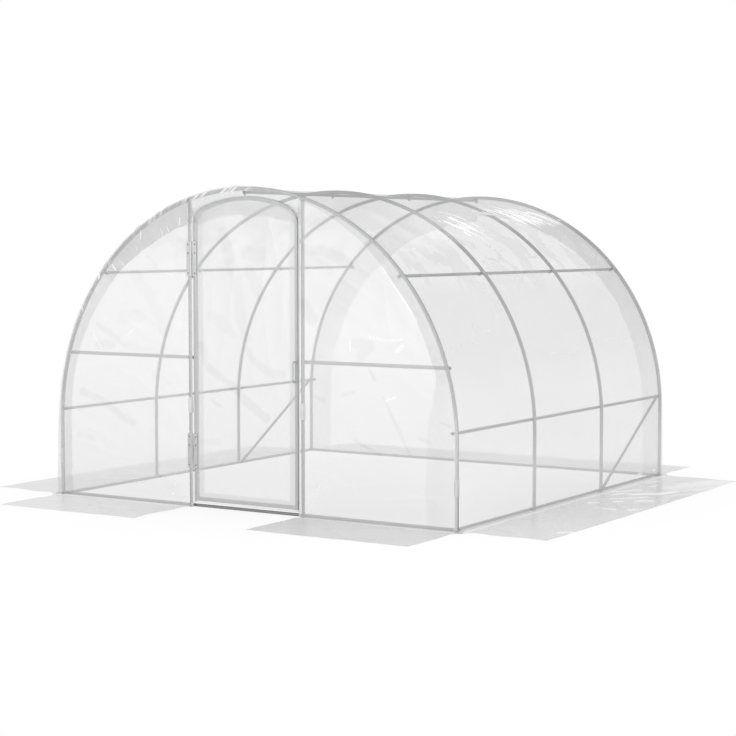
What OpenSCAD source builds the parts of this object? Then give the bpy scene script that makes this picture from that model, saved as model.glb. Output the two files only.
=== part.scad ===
// Walk-in polytunnel greenhouse: four round steel hoops on straight legs, purlins and base rails
// seated inside them, a clear film cover with ground skirts, and a hinged steel door in the front end.
// Millimetres. X runs across the tunnel, Y from the door end (-Y) to the back, Z up from the ground.
// The origin is on the ground at the middle of the plan.

/* [Tunnel] */
// Outside width across the hoops
span = 3000; // [2400:10:3600]
// Height of the straight hoop legs below the round arch
leg_height = 500; // [300:10:800]
// Distance from hoop to hoop
bay_length = 980; // [700:10:1400]

/* [Tubes] */
// Outside diameter of the hoop and door post tube
hoop_d = 22; // [18:1:32]
// Outside diameter of the purlins, base rails and braces
purlin_d = 19; // [14:1:25]
// Outside diameter of the rails between door posts and hoop
mid_rail_d = 22; // [16:1:28]
// Outside diameter of the door frame tube
door_d = 25; // [18:1:30]
// Wall thickness of the open-ended tubes
tube_wall = 1; // [0.8:0.1:2]
// How far a hoop tube's end is swaged in to enter the next tube
swage = 0.8; // [0.4:0.1:1]
// Length of the swaged neck that shows at a hoop joint
swage_neck = 8; // [4:1:20]
// Length of a swaged end inside the next tube
swage_reach = 30; // [20:1:60]

/* [Frame positions] */
// Gap between the ground and the base rails
base_rail_lift = 0.5; // [0:0.5:20]
// Angle of the lower purlins above the start of the arch
lower_purlin_angle = 2.7; // [1:0.1:15]
// Angle of the upper purlins above the start of the arch
upper_purlin_angle = 41.2; // [30:0.1:60]
// Angle of the hoop joints above the start of the arch
hoop_joint_angle = 30; // [15:1:36]
// Height of the rails between door posts and hoop
mid_rail_height = 942; // [700:1:1200]
// Distance from the middle of the tunnel to each door post
post_x = 425; // [415:1:600]
// Length of the flattened tab at each end of a brace
brace_tab = 64; // [56:1:90]
// Length over which a brace runs from flat tab to round tube
brace_taper = 28; // [20:1:50]
// Width of the flattened tab of a brace
brace_tab_w = 26; // [22:1:30]
// Thickness of the flattened tab of a brace
brace_tab_t = 4; // [3:0.5:6]
// How far the brace ends lie from the hoop they are bolted beside
brace_inset = 34; // [26:1:60]

/* [Door] */
// Distance from the middle of the door to the centre line of each stile
door_half_w = 379; // [300:1:400]
// Height of the door's bottom rail, at its centre line
door_bottom = 55; // [50:1:120]
// Gap between the top of the door and the underside of the front hoop
door_head_gap = 35; // [32:0.5:120]
// Rise of the arched head above its start
door_rise = 166; // [135:1:172]
// Bend radius of the head's shoulders
door_shoulder_r = 118; // [90:1:125]
// Bottom edge of the door film above ground
door_film_bottom = 31; // [28:1:50]
// How far the door film stops short of the frame's outer edge
door_film_inset = 3; // [1:0.5:8]

/* [Hinges and handle] */
// Height of each hinge
hinge_h = 217; // [120:1:260]
// Height of the lower hinge's middle above the door's bottom rail
hinge_low_rise = 303; // [150:1:500]
// Depth of the upper hinge's middle below the start of the door's arched head
hinge_high_drop = 204; // [120:1:500]
// Width of one hinge leaf from the pin
hinge_leaf_w = 38; // [32:1:45]
// Thickness of the hinge leaves
hinge_leaf_t = 3; // [2:0.5:4]
// Outside diameter of the hinge knuckles
knuckle_d = 12; // [10:1:14]
// Diameter of the hinge pins
hinge_pin_d = 6; // [4:0.5:7]
// Height of the handle's middle
handle_z = 883; // [700:1:1200]
// Length of the handle's grip between its legs
handle_length = 120; // [90:1:160]
// How far the grip stands off the door
handle_reach = 30; // [28:1:60]
// Diameter of the handle rod
handle_d = 9; // [7:0.5:12]

/* [Film] */
// Thickness of the film
film_t = 1; // [0.6:0.1:3]
// Width of the skirts that lie on the ground
skirt_w = 570; // [300:10:700]
// Width of the cover's edge folded over each end
fold_w = 150; // [80:5:200]
// Width of the stretch of that edge that hangs behind the door's head
fold_head_w = 175; // [120:5:220]
// Gap between the head film and the swinging door frame
head_gap = 8; // [6:1:15]
// Gap between the back of the door frame and the fold that hangs behind its head
fold_door_gap = 5.5; // [5:0.5:12]

/* [Clearances] */
// Gap between pieces that lie against each other
seat_gap = 0.3; // [0.2:0.05:0.5]
// Radial running clearance of the hinge pins
pin_clearance = 0.05; // [0.02:0.01:0.1]
// Gap between hinge knuckles along the pin
knuckle_gap = 0.6; // [0.4:0.1:1]

/* [Hidden] */
$fn = 64;
arch_fn = 360;
bays = 3;
steel = "silver";
film_colour = [0.93, 0.95, 0.96, 0.35];

hoop_r = span / 2 - hoop_d / 2;
length = bays * bay_length;
front_y = -length / 2;
rear_y = length / 2;
third_y = front_y + 2 * bay_length;

// Purlins and side rails sit against the inside of the hoops.
inside_r = hoop_r - hoop_d / 2 - seat_gap - purlin_d / 2;
purlin_length = length + hoop_d;

// Angle that a length takes up along the hoop's centre line
function arch_turn(along) = along / hoop_r * 180 / PI;

ridge_angle = 90;
base_rail_height = base_rail_lift + purlin_d / 2;
end_rail_inset = hoop_d / 2 + seat_gap + purlin_d / 2;
side_rail_length = length - 2 * (end_rail_inset + purlin_d / 2 + seat_gap);
end_rail_margin = 3;
mid_rail_inset = hoop_d / 2 + seat_gap + mid_rail_d / 2;
mid_rail_hoop_x = sqrt(pow(hoop_r, 2) - pow(mid_rail_height - leg_height, 2));
mid_rail_overrun = hoop_d / 4;
post_edge_x = post_x - hoop_d / 2;
post_angle = acos(post_x / hoop_r);

// The braces lie between the hoops, against the outer faces of side rail and lower purlin.
brace_x = inside_r + purlin_d / 2 + seat_gap + brace_tab_t / 2;
brace_foot_z = base_rail_lift + seat_gap + brace_tab_w / 2;
brace_head_z = leg_height + inside_r * sin(lower_purlin_angle);

// The film lies on the outside of the hoops; at the ends it lies on their faces.
cover_r = span / 2 + seat_gap;
end_film_y = length / 2 + hoop_d / 2 + seat_gap;
fold_y = end_film_y + film_t + seat_gap;
skirt_end_y = fold_y + film_t + seat_gap;
skirt_side_x = cover_r + film_t + seat_gap;

// The door's face is flush with the door posts, and its head is a three-centred arch.
door_y = front_y - hoop_d / 2 + door_d / 2;
door_spring = leg_height + hoop_r - hoop_d / 2 - door_head_gap - door_d / 2 - door_rise;
crown_r = (pow(door_half_w - door_shoulder_r, 2) + pow(door_rise, 2) - pow(door_shoulder_r, 2))
    / (2 * (door_rise - door_shoulder_r));
crown_angle = asin((door_half_w - door_shoulder_r) / (crown_r - door_shoulder_r));
crown_z = door_spring + door_rise - crown_r;
seam_angle = asin(0.6 / crown_r);

// The hinge pins stand midway between post and stile, just in front of the film.
hinge_x = -(post_edge_x + door_half_w + door_d / 2) / 2;
leaf_back_y = -(end_film_y + film_t + seat_gap);
hinge_y = leaf_back_y - knuckle_d / 2;
hinge_low_z = door_bottom + hinge_low_rise;
hinge_high_z = door_spring - hinge_high_drop;
leaf_clear = knuckle_d / 2 + 1;
knuckle_h = hinge_h / 3;
handle_bend_r = 14;
handle_flange_d = 24;
handle_flange_t = 3;

// Basic shapes

// Upright open-ended tube, standing on its own origin
module tube(d, h) {
    difference() {
        cylinder(d = d, h = h);
        translate([0, 0, -1]) cylinder(d = d - 2 * tube_wall, h = h + 2);
    }
}

module tube_along_y(d, h) {
    rotate([90, 0, 0]) translate([0, 0, -h / 2]) tube(d, h);
}

// Tube along X between two places
module tube_along_x(d, x0, x1) {
    translate([x0, 0, 0]) rotate([0, 90, 0]) tube(d, x1 - x0);
}

module mirrored(side) {
    mirror([side < 0 ? 1 : 0, 0, 0]) children();
}

// Turns a drawing in X and height into a sheet; y0 is its front face
module upright_sheet(y0, t) {
    translate([0, y0 + t, 0]) rotate([90, 0, 0]) linear_extrude(height = t) children();
}

// Outline of the tunnel's end: straight legs and a half circle
module arch_outline(r, h = leg_height) {
    translate([-r, 0]) square([2 * r, h]);
    translate([0, h]) intersection() {
        circle(r, $fn = arch_fn);
        translate([-r, -1]) square([2 * r, r + 2]);
    }
}

// Frame

// Bent tube along the arch, from a start angle to an end angle
module hoop_arc(d, start, end) {
    rotate([90, 0, 0]) rotate([0, 0, start]) rotate_extrude(angle = end - start, $fn = arch_fn)
        translate([hoop_r, 0]) difference() {
            circle(d = d);
            circle(d = d - 2 * tube_wall);
        }
}

// Hoop of three tubes: two legs with the start of the arch, and the top, whose swaged ends enter them
module hoop(y) {
    neck = arch_turn(swage_neck);
    reach = arch_turn(swage_reach);
    swaged_d = hoop_d - 2 * swage;
    color(steel) translate([0, y, 0]) {
        for (side = [-1, 1]) translate([side * hoop_r, 0, 0]) tube(hoop_d, leg_height);
        translate([0, 0, leg_height]) {
            hoop_arc(hoop_d, hoop_joint_angle + neck, 180 - hoop_joint_angle - neck);
            for (side = [-1, 1]) mirrored(side) {
                hoop_arc(hoop_d, 0, hoop_joint_angle);
                hoop_arc(swaged_d, hoop_joint_angle - reach, hoop_joint_angle + neck + reach);
            }
        }
    }
}

// Purlin under the hoops, at an angle round the arch
module purlin(angle, side = 1) {
    color(steel) mirrored(side)
        translate([inside_r * cos(angle), 0, leg_height + inside_r * sin(angle)])
            tube_along_y(purlin_d, purlin_length);
}

module side_base_rail(side) {
    color(steel) translate([side * inside_r, 0, base_rail_height])
        tube_along_y(purlin_d, side_rail_length);
}

module end_base_rail(y) {
    reach = span / 2 - end_rail_margin;
    color(steel) translate([0, y, base_rail_height]) tube_along_x(purlin_d, -reach, reach);
}

// Flattened, round-ended tab of a brace, running up into the round tube
module brace_end() {
    slack = 0.2;
    tab_r = brace_tab_w / 2;
    rotate([0, -90, 0]) translate([0, 0, -brace_tab_t / 2]) linear_extrude(height = brace_tab_t) {
        translate([tab_r, 0]) circle(tab_r);
        translate([tab_r, -tab_r]) square([brace_tab - tab_r, brace_tab_w]);
    }
    hull() {
        translate([-brace_tab_t / 2 + slack, -brace_tab_w / 2 + slack, brace_tab - 1])
            cube([brace_tab_t - 2 * slack, brace_tab_w - 2 * slack, 1]);
        translate([0, 0, brace_tab + brace_taper]) cylinder(d = purlin_d - 2 * slack, h = 1, $fn = 32);
    }
}

// Diagonal brace in the rear bay, from the third hoop's foot to the rear hoop's lower purlin
module brace(side) {
    foot_y = third_y + brace_inset;
    head_y = rear_y - brace_inset;
    run = head_y - foot_y;
    rise = brace_head_z - brace_foot_z;
    tab_over = brace_tab_w / 2;
    between = sqrt(pow(run, 2) + pow(rise, 2));
    long = between + 2 * tab_over;
    lean = asin(inside_r * (1 - cos(lower_purlin_angle)) / between);
    flat = brace_tab + brace_taper;
    color(steel) mirrored(side) translate([brace_x, foot_y, brace_foot_z])
        rotate([-atan2(run, rise), 0, 0]) rotate([0, -lean, 0]) translate([0, 0, -tab_over]) {
            brace_end();
            translate([0, 0, flat]) cylinder(d = purlin_d, h = long - 2 * flat);
            translate([0, 0, long]) mirror([0, 0, 1]) brace_end();
        }
}

// Door post with its top end cut to saddle under the hoop
module door_post(side) {
    hoop_z = leg_height + hoop_r * sin(post_angle);
    saddle_length = 8 * hoop_d;
    color(steel) mirrored(side) translate([post_x, front_y, 0]) difference() {
        tube(hoop_d, hoop_z);
        translate([0, 0, hoop_z]) rotate([0, 90 - post_angle, 0]) translate([-saddle_length / 2, 0, 0])
            rotate([0, 90, 0]) cylinder(d = hoop_d + 2 * seat_gap, h = saddle_length);
    }
}

module mid_rail(side) {
    color(steel) mirrored(side) translate([0, front_y + mid_rail_inset, mid_rail_height])
        tube_along_x(mid_rail_d, post_edge_x, mid_rail_hoop_x + mid_rail_overrun);
}

// Hinges

// Leaf that lies to one side of the pin, with a tab and a barrel at each listed knuckle
module hinge_leaf(side, knuckles, bore) {
    color(steel) translate([hinge_x, 0, -hinge_h / 2]) mirrored(side) {
        translate([leaf_clear, leaf_back_y - hinge_leaf_t, 0])
            cube([hinge_leaf_w - leaf_clear, hinge_leaf_t, hinge_h]);
        for (k = knuckles) {
            z0 = k * knuckle_h + (k > 0 ? knuckle_gap / 2 : 0);
            z1 = (k + 1) * knuckle_h - (k < 2 ? knuckle_gap / 2 : 0);
            difference() {
                union() {
                    translate([0, hinge_y, z0]) cylinder(d = knuckle_d, h = z1 - z0);
                    translate([0, leaf_back_y - hinge_leaf_t, z0])
                        cube([leaf_clear + 1, hinge_leaf_t, z1 - z0]);
                }
                if (bore > 0) translate([0, hinge_y, z0 - 1]) cylinder(d = bore, h = z1 - z0 + 2);
            }
        }
    }
}

// Leaf on the post, with the pin held in its two outer knuckles
module hinge_post_leaf(z) {
    translate([0, 0, z]) {
        hinge_leaf(-1, [0, 2], 0);
        color(steel) translate([hinge_x, hinge_y, -hinge_h / 2]) cylinder(d = hinge_pin_d, h = hinge_h);
    }
}

module hinge_door_leaf(z) {
    translate([0, 0, z]) hinge_leaf(1, [1], hinge_pin_d + 2 * pin_clearance);
}

// Door

// Outline of the door, measured from the frame's centre line by an offset
module door_outline(grow, bottom) {
    half = door_half_w + grow;
    translate([-half, bottom]) square([2 * half, door_spring - bottom]);
    for (side = [-1, 1]) translate([side * (door_half_w - door_shoulder_r), door_spring])
        circle(door_shoulder_r + grow);
    translate([0, crown_z]) intersection() {
        circle(crown_r + grow, $fn = arch_fn);
        polygon([[0, 0], for (side = [1, -1])
            [side * 2 * crown_r * sin(crown_angle), 2 * crown_r * cos(crown_angle)]]);
    }
}

// Bend of the frame tube in the door's plane, from a start angle through a turn
module door_bend(x, z, r, start, turn) {
    translate([x, 0, z]) rotate([90, 0, 0]) rotate([0, 0, start]) rotate_extrude(angle = turn)
        translate([r, 0]) circle(d = door_d);
}

// Upright bar of the frame, square at the bottom
module door_stile(side) {
    foot = door_bottom - door_d / 2;
    translate([side * door_half_w, 0, foot]) cylinder(d = door_d, h = door_spring - foot);
}

// Bottom bar, coped into both stiles
module door_bottom_rail() {
    translate([-door_half_w, 0, door_bottom]) rotate([0, 90, 0])
        cylinder(d = door_d, h = 2 * door_half_w);
}

// Spigot inside the frame tube where a shoulder meets the crown
module door_spigot(side) {
    reach = 10;
    mirrored(side) translate([crown_r * sin(crown_angle), 0, crown_z + crown_r * cos(crown_angle)])
        rotate([0, 90 + crown_angle, 0]) translate([0, 0, -reach])
            cylinder(d = door_d - 4 * tube_wall, h = 2 * reach);
}

module door_frame() {
    shoulder_x = door_half_w - door_shoulder_r;
    color(steel) translate([0, door_y, 0]) {
        for (side = [-1, 1]) {
            door_stile(side);
            door_spigot(side);
        }
        door_bottom_rail();
        door_bend(shoulder_x, door_spring, door_shoulder_r, 0, 90 - crown_angle);
        door_bend(-shoulder_x, door_spring, door_shoulder_r, 90 + crown_angle, 90 - crown_angle);
        door_bend(0, crown_z, crown_r, 90 - crown_angle + seam_angle, 2 * (crown_angle - seam_angle));
    }
}

module door_film() {
    color(film_colour) upright_sheet(-end_film_y - film_t, film_t)
        door_outline(door_d / 2 - door_film_inset, door_film_bottom);
}

// Pull handle: a bent rod on two round flanges
module door_handle() {
    leg_z = handle_length / 2;
    color(steel) translate([door_half_w, leaf_back_y, handle_z]) {
        for (end = [-1, 1]) translate([0, 0, end * leg_z]) rotate([90, 0, 0]) {
            cylinder(d = handle_flange_d, h = handle_flange_t);
            cylinder(d = handle_d, h = handle_reach - handle_bend_r);
        }
        translate([0, -handle_reach, -leg_z + handle_bend_r])
            cylinder(d = handle_d, h = handle_length - 2 * handle_bend_r);
        for (end = [-1, 1]) mirror([0, 0, end < 0 ? 1 : 0])
            translate([0, -handle_reach + handle_bend_r, leg_z - handle_bend_r])
                rotate([0, -90, 0]) rotate([0, 0, -90]) rotate_extrude(angle = 90)
                    translate([handle_bend_r, 0]) circle(d = handle_d);
    }
}

// Cover

// One sheet over the hoops, from the ground on one side to the ground on the other
module cover_film() {
    color(film_colour) upright_sheet(-end_film_y - film_t, 2 * (end_film_y + film_t)) difference() {
        arch_outline(cover_r + film_t);
        translate([0, -1]) arch_outline(cover_r, leg_height + 1);
    }
}

// The cover's edge folded over an end, as a flat band that follows the hoop
module fold_outline() {
    lift = film_t + seat_gap;
    difference() {
        arch_outline(cover_r + film_t);
        translate([0, -1]) arch_outline(cover_r + film_t - fold_w, leg_height + 1);
        translate([-span, -1]) square([2 * span, lift + 1]);
    }
}

module cover_fold_front(side) {
    color(film_colour) mirrored(side) upright_sheet(-fold_y - film_t, film_t) intersection() {
        fold_outline();
        translate([post_edge_x, 0]) square([span, span]);
    }
}

// Stretch of the folded edge behind the door's head, slipped over the ridge purlin
module cover_fold_front_head() {
    color(film_colour) upright_sheet(door_y + door_d / 2 + fold_door_gap, film_t) difference() {
        intersection() {
            arch_outline(hoop_r);
            translate([-post_edge_x, door_spring - fold_head_w]) square([2 * post_edge_x, span]);
        }
        translate([0, -1]) arch_outline(cover_r + film_t - fold_head_w, leg_height + 1);
        translate([0, leg_height + inside_r]) circle(d = purlin_d + 2 * seat_gap);
    }
}

module cover_fold_rear() {
    color(film_colour) upright_sheet(fold_y, film_t) fold_outline();
}

module front_film(side) {
    color(film_colour) mirrored(side) upright_sheet(-end_film_y - film_t, film_t) intersection() {
        arch_outline(cover_r - seat_gap);
        translate([post_edge_x, 0]) square([span, span]);
    }
}

// Film between the door's arched head and the hoop
module front_film_head() {
    half = post_edge_x - seat_gap;
    color(film_colour) upright_sheet(-end_film_y - film_t, film_t) difference() {
        intersection() {
            arch_outline(cover_r - seat_gap);
            translate([-half, door_spring]) square([2 * half, span]);
        }
        door_outline(door_d / 2 + head_gap, door_bottom);
    }
}

module rear_film() {
    color(film_colour) upright_sheet(end_film_y, film_t) arch_outline(cover_r - seat_gap);
}

module side_skirt(side) {
    color(film_colour) mirrored(side) translate([skirt_side_x, -end_film_y - film_t, 0])
        cube([skirt_w, 2 * (end_film_y + film_t), film_t]);
}

module rear_skirt() {
    color(film_colour) translate([-cover_r - film_t, skirt_end_y, 0])
        cube([2 * (cover_r + film_t), skirt_w, film_t]);
}

module front_skirt(side) {
    color(film_colour) mirrored(side) translate([post_edge_x, -skirt_end_y - skirt_w, 0])
        cube([cover_r + film_t - post_edge_x, skirt_w, film_t]);
}

hoop(front_y);  // hoop_front
hoop(front_y + bay_length);  // hoop_second
hoop(third_y);  // hoop_third
hoop(rear_y);  // hoop_rear
purlin(ridge_angle);  // ridge_purlin
purlin(upper_purlin_angle, -1);  // upper_purlin_left
purlin(upper_purlin_angle, 1);  // upper_purlin_right
purlin(lower_purlin_angle, -1);  // lower_purlin_left
purlin(lower_purlin_angle, 1);  // lower_purlin_right
side_base_rail(-1);  // base_rail_left
side_base_rail(1);  // base_rail_right
end_base_rail(front_y + end_rail_inset);  // base_rail_front
end_base_rail(rear_y - end_rail_inset);  // base_rail_rear
brace(-1);  // brace_left
brace(1);  // brace_right
door_post(-1);  // door_post_left
door_post(1);  // door_post_right
mid_rail(-1);  // mid_rail_left
mid_rail(1);  // mid_rail_right
hinge_post_leaf(hinge_low_z);  // hinge_post_leaf_lower
hinge_post_leaf(hinge_high_z);  // hinge_post_leaf_upper
hinge_door_leaf(hinge_low_z);  // hinge_door_leaf_lower
hinge_door_leaf(hinge_high_z);  // hinge_door_leaf_upper
door_frame();
door_film();
door_handle();
cover_film();
cover_fold_front(-1);  // cover_fold_front_left
cover_fold_front(1);  // cover_fold_front_right
cover_fold_front_head();
cover_fold_rear();
front_film(-1);  // front_film_left
front_film(1);  // front_film_right
front_film_head();
rear_film();
side_skirt(-1);  // skirt_left
side_skirt(1);  // skirt_right
rear_skirt();  // skirt_rear
front_skirt(-1);  // skirt_front_left
front_skirt(1);  // skirt_front_right
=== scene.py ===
"""Looks of a walk-in polytunnel: clear film sheets, zinc tubes, bolts and clips round the CAD frame."""
import math

import bpy
import numpy as np
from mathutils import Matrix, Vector


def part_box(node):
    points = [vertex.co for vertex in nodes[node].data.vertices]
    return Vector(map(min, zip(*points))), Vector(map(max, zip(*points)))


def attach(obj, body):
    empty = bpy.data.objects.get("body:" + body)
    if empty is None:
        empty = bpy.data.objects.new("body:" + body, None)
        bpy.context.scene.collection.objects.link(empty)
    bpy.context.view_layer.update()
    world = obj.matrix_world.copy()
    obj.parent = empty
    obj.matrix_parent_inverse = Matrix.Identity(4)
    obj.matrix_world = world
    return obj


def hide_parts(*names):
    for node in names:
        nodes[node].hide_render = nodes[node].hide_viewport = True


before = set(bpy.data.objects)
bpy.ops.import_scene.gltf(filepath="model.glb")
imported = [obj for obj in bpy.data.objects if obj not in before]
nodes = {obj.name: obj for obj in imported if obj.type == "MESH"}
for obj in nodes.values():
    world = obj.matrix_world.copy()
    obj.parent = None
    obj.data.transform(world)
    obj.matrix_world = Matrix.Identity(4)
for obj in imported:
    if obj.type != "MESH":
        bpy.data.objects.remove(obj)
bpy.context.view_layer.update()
scene = bpy.context.scene


def middle(node_name, axis):
    """Middle of a CAD node's box along an axis."""
    low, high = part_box(node_name)
    return (low[axis] + high[axis]) / 2


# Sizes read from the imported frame, in metres
hoop_low, hoop_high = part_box("hoop_front")
HOOP_OUT = hoop_high[0]
LEG = hoop_high[2] - HOOP_OUT
FRONT_Y = middle("hoop_front", 1)
TUBE_R = (hoop_high[1] - hoop_low[1]) / 2
REAR_Y = -FRONT_Y
BAYS = 3
BAY = (REAR_Y - FRONT_Y) / BAYS
HOOPS_Y = [FRONT_Y + BAY * i for i in range(BAYS + 1)]
FILM_HALF = 0.0005
cover_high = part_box("cover_film")[1]
COVER_R = cover_high[0] - FILM_HALF
COVER_END = cover_high[1]
POST_X = middle("door_post_right", 0)
FILM_EDGE_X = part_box("front_film_right")[0][0]
FRONT_FILM_Y = middle("front_film_right", 1)
REAR_FILM_Y = middle("rear_film", 1)
FOLD_FRONT_Y = middle("cover_fold_front_left", 1)
FOLD_REAR_Y = middle("cover_fold_rear", 1)
FOLD_HEAD_Y = middle("cover_fold_front_head", 1)
MID_RAIL_Z = middle("mid_rail_left", 2)
RAIL_Z = middle("base_rail_front", 2)
RAIL_R = RAIL_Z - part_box("base_rail_front")[0][2]
RIDGE_Z = middle("ridge_purlin", 2)


# Node trees

class Value:
    """A socket of a node tree, with the operators used on it."""

    def __init__(self, net, socket):
        self.net = net
        self.socket = socket

    def math(self, operation, other, swap=False):
        a, b = (other, self) if swap else (self, other)
        return self.net.node("ShaderNodeMath", {"operation": operation}, {0: a, 1: b})

    def __add__(self, other):
        return self.math("ADD", other)

    def __radd__(self, other):
        return self.math("ADD", other, True)

    def __sub__(self, other):
        return self.math("SUBTRACT", other)

    def __rsub__(self, other):
        return self.math("SUBTRACT", other, True)

    def __mul__(self, other):
        return self.math("MULTIPLY", other)

    def __rmul__(self, other):
        return self.math("MULTIPLY", other, True)

    def __lt__(self, other):
        return self.math("LESS_THAN", other)

    def __or__(self, other):
        return self.math("MAXIMUM", other)


class Net:
    """A node tree and the one way in which its nodes are made."""

    def __init__(self, tree):
        self.tree = tree

    def node(self, kind, settings=None, inputs=None, out=0):
        made = self.tree.nodes.new(kind)
        for key, value in (settings or {}).items():
            setattr(made, key, value)
        for key, value in (inputs or {}).items():
            self.feed(made.inputs[key], value)
        return Value(self, made.outputs[out])

    def feed(self, socket, value):
        if isinstance(value, list):
            for one in value:
                self.feed(socket, one)
        elif isinstance(value, Value):
            self.tree.links.new(value.socket, socket)
        else:
            socket.default_value = value

    def between(self, value, low, high):
        return self.node("ShaderNodeMapRange", {"clamp": True},
                         {"Value": value, "From Min": low, "From Max": high})


class Finish(Net):
    """A material and the nodes that feed its shader."""

    def __init__(self, name):
        self.material = bpy.data.materials.new(name)
        self.material.use_nodes = True
        super().__init__(self.material.node_tree)
        self.shader = self.tree.nodes["Principled BSDF"]

    def set(self, **inputs):
        for key, value in inputs.items():
            self.feed(self.shader.inputs[key.replace("_", " ")], value)

    def coords(self, scale=(1, 1, 1)):
        place = self.node("ShaderNodeTexCoord", out="Object")
        return self.node("ShaderNodeMapping", None, {"Vector": place, "Scale": scale})

    def point(self, word):
        return self.node("ShaderNodeAttribute", {"attribute_name": word}, out="Fac")

    def noise(self, where, scale, detail=2.0, roughness=0.5, distortion=0.0):
        return self.node("ShaderNodeTexNoise", None, {
            "Vector": where, "Scale": scale, "Detail": detail,
            "Roughness": roughness, "Distortion": distortion})

    def mix(self, share, a, b):
        return self.node("ShaderNodeMix", {"data_type": "RGBA"},
                         {"Factor": share, 6: a, 7: b}, out=2)

    def bump(self, height, strength, distance):
        return self.node("ShaderNodeBump", None,
                         {"Height": height, "Strength": strength, "Distance": distance})


# Finishes

def grey(level, warm=0.0):
    """Grey of a level, bluer where warm is below zero."""
    return (level + warm, level, level - warm, 1)


# Edge softness and strength of the painted shade on the sill
SILL_SHADE_SOFT = 0.003
SILL_PAINTED_SHADE = 0.34


def zinc_finish(name, level, rough, metal, shaded=0.0):
    """Galvanised steel: faint spangle, drawn streaks and dull patches; painted shade darkens it for x within
    a given half length of zero.
    """
    f = Finish(name)
    place = f.coords()
    spangle = f.node("ShaderNodeTexVoronoi", {"feature": "F1"},
                     {"Vector": place, "Scale": 95.0}, out="Color")
    flake = f.node("ShaderNodeSeparateColor", None, {"Color": spangle})
    patches = f.noise(place, 7.0, 3.0)
    streaks = f.noise(f.coords((240, 240, 9)), 1.0, 2.0)
    tone = flake * 0.45 + patches * 0.35 + streaks * 0.2
    coat = f.mix(tone, grey(level * 0.86, -0.006), grey(level * 1.1, -0.003))
    # Painted shade: the middle stretch is darkened as the sill's shade under the door
    if shaded:
        across = f.node("ShaderNodeSeparateXYZ", None, {"Vector": place})
        painted_sill_shade = f.between(across * across, shaded * shaded + SILL_SHADE_SOFT, shaded * shaded - SILL_SHADE_SOFT)
        coat = f.mix(painted_sill_shade * SILL_PAINTED_SHADE, coat, grey(0.0))
    f.set(Base_Color=coat,
          Roughness=patches * 0.2 + flake * 0.12 + (rough - 0.16),
          Metallic=metal,
          Normal=f.bump(streaks * 0.6 + flake * 0.4, 0.12, 0.0006))
    return f.material


FULL_HAZE = 0.7
STROKE_TURN = 0.74
LINE_FROM = 0.66
LINE_SOFT = 0.05


def film_finish(name, alpha, level, doubled_tone=0.78, stroke=(0.2, 0.034)):
    """Milky polyethylene: a veil that follows the folds, pale ragged patches, painted shade and painted
    glints as white crumple lines.

    Where the haze is FULL_HAZE the film veils what is behind it by alpha; well above that it is doubled
    and its tone falls by doubled_tone. stroke is the length and width of the strokes that make the crumple
    lines."""
    f = Finish(name)
    flat = f.node("ShaderNodeUVMap", {"uv_map": "flat"})
    haze, crumple, shade, sheen = (f.point(word) for word in ("haze", "crumple", "shade", "sheen"))
    slow = f.noise(flat, 1.4, 2.0)
    ragged = f.noise(flat, 3.4, 6.0, 0.62, 0.3)
    patch = f.between(ragged, 0.487, 0.513) * f.point("cloud")
    turned = f.node("ShaderNodeMapping", {"vector_type": "TEXTURE"},
                    {"Vector": flat, "Rotation": (0, 0, STROKE_TURN), "Scale": (*stroke, 1.0)})
    strokes = f.noise(turned, 1.0, 3.0, 0.6, 0.7)
    fine = f.noise(flat, 26.0, 3.0, 0.6, 1.2)
    # Painted glints: white crumple lines and the sheen attribute turn the film white and denser
    lines = f.between(strokes + crumple * 0.16 + fine * 0.1, LINE_FROM, LINE_FROM + LINE_SOFT)
    painted_glint = lines * f.between(crumple, 0.04, 0.25) | sheen
    veil = (slow * 0.2 + 0.9) * haze * (alpha / FULL_HAZE)
    doubled = f.between(haze, 0.8, 1.05)
    cloth = f.mix(doubled, grey(level), grey(level * doubled_tone))
    # Painted shade: the shade attribute darkens the film's tone
    cloth = f.mix(shade, cloth, grey(0.0))
    f.set(Base_Color=f.mix(painted_glint, cloth, grey(0.98)),
          Alpha=veil * (1 - patch * 0.4) + painted_glint * 0.6,
          Roughness=slow * 0.1 + 0.2,
          Normal=f.bump(strokes * crumple + fine * 0.1, 0.2, 0.01),
          IOR=1.45)
    return f.material


# Half length of the sill's stretch darkened by painted shade, from post to post
SILL_SHADE_HALF = POST_X - 0.015
tube_zinc = zinc_finish("galvanised tube", 0.37, 0.46, 0.30)
shaded_sill_zinc = zinc_finish("worn sill tube", 0.34, 0.46, 0.30, shaded=SILL_SHADE_HALF)
hard_zinc = zinc_finish("zinc hardware", 0.47, 0.36, 0.40)
dark_zinc = zinc_finish("dark bolt zinc", 0.13, 0.40, 0.50)
clip_zinc = zinc_finish("pale clip zinc", 0.58, 0.46, 0.20)
# Tone of the cover where it is palest, on the left, where painted light keeps it near white as if lit
# through from behind, and on the right
COVER_LEVEL = 0.95
RIGHT_LEVEL = 0.66
cover_look = film_finish("cover film", 0.42, COVER_LEVEL, doubled_tone=1.0)
end_look = film_finish("end film", 0.52, 0.735, stroke=(0.10, 0.02))
# Painted light: the rear film is set near white, as if lit through from behind
rear_look = film_finish("rear film", 0.52, 0.92)
door_look = film_finish("door film", 0.50, 0.68)
head_look = film_finish("head film", 0.40, 0.72)
fold_look = film_finish("folded film", 0.42, 0.44)
# Painted shade: the ground film's tone is darker, as shade on the ground
skirt_look = film_finish("ground film", 0.60, 0.49)

for node_name, node in nodes.items():
    if any(word in node_name for word in ("film", "fold", "skirt")):
        continue
    look = hard_zinc if "hinge" in node_name or "handle" in node_name else tube_zinc
    node.data.materials.clear()
    node.data.materials.append(shaded_sill_zinc if node_name == "base_rail_front" else look)


# Film shapes

LATTICE = 256


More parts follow.
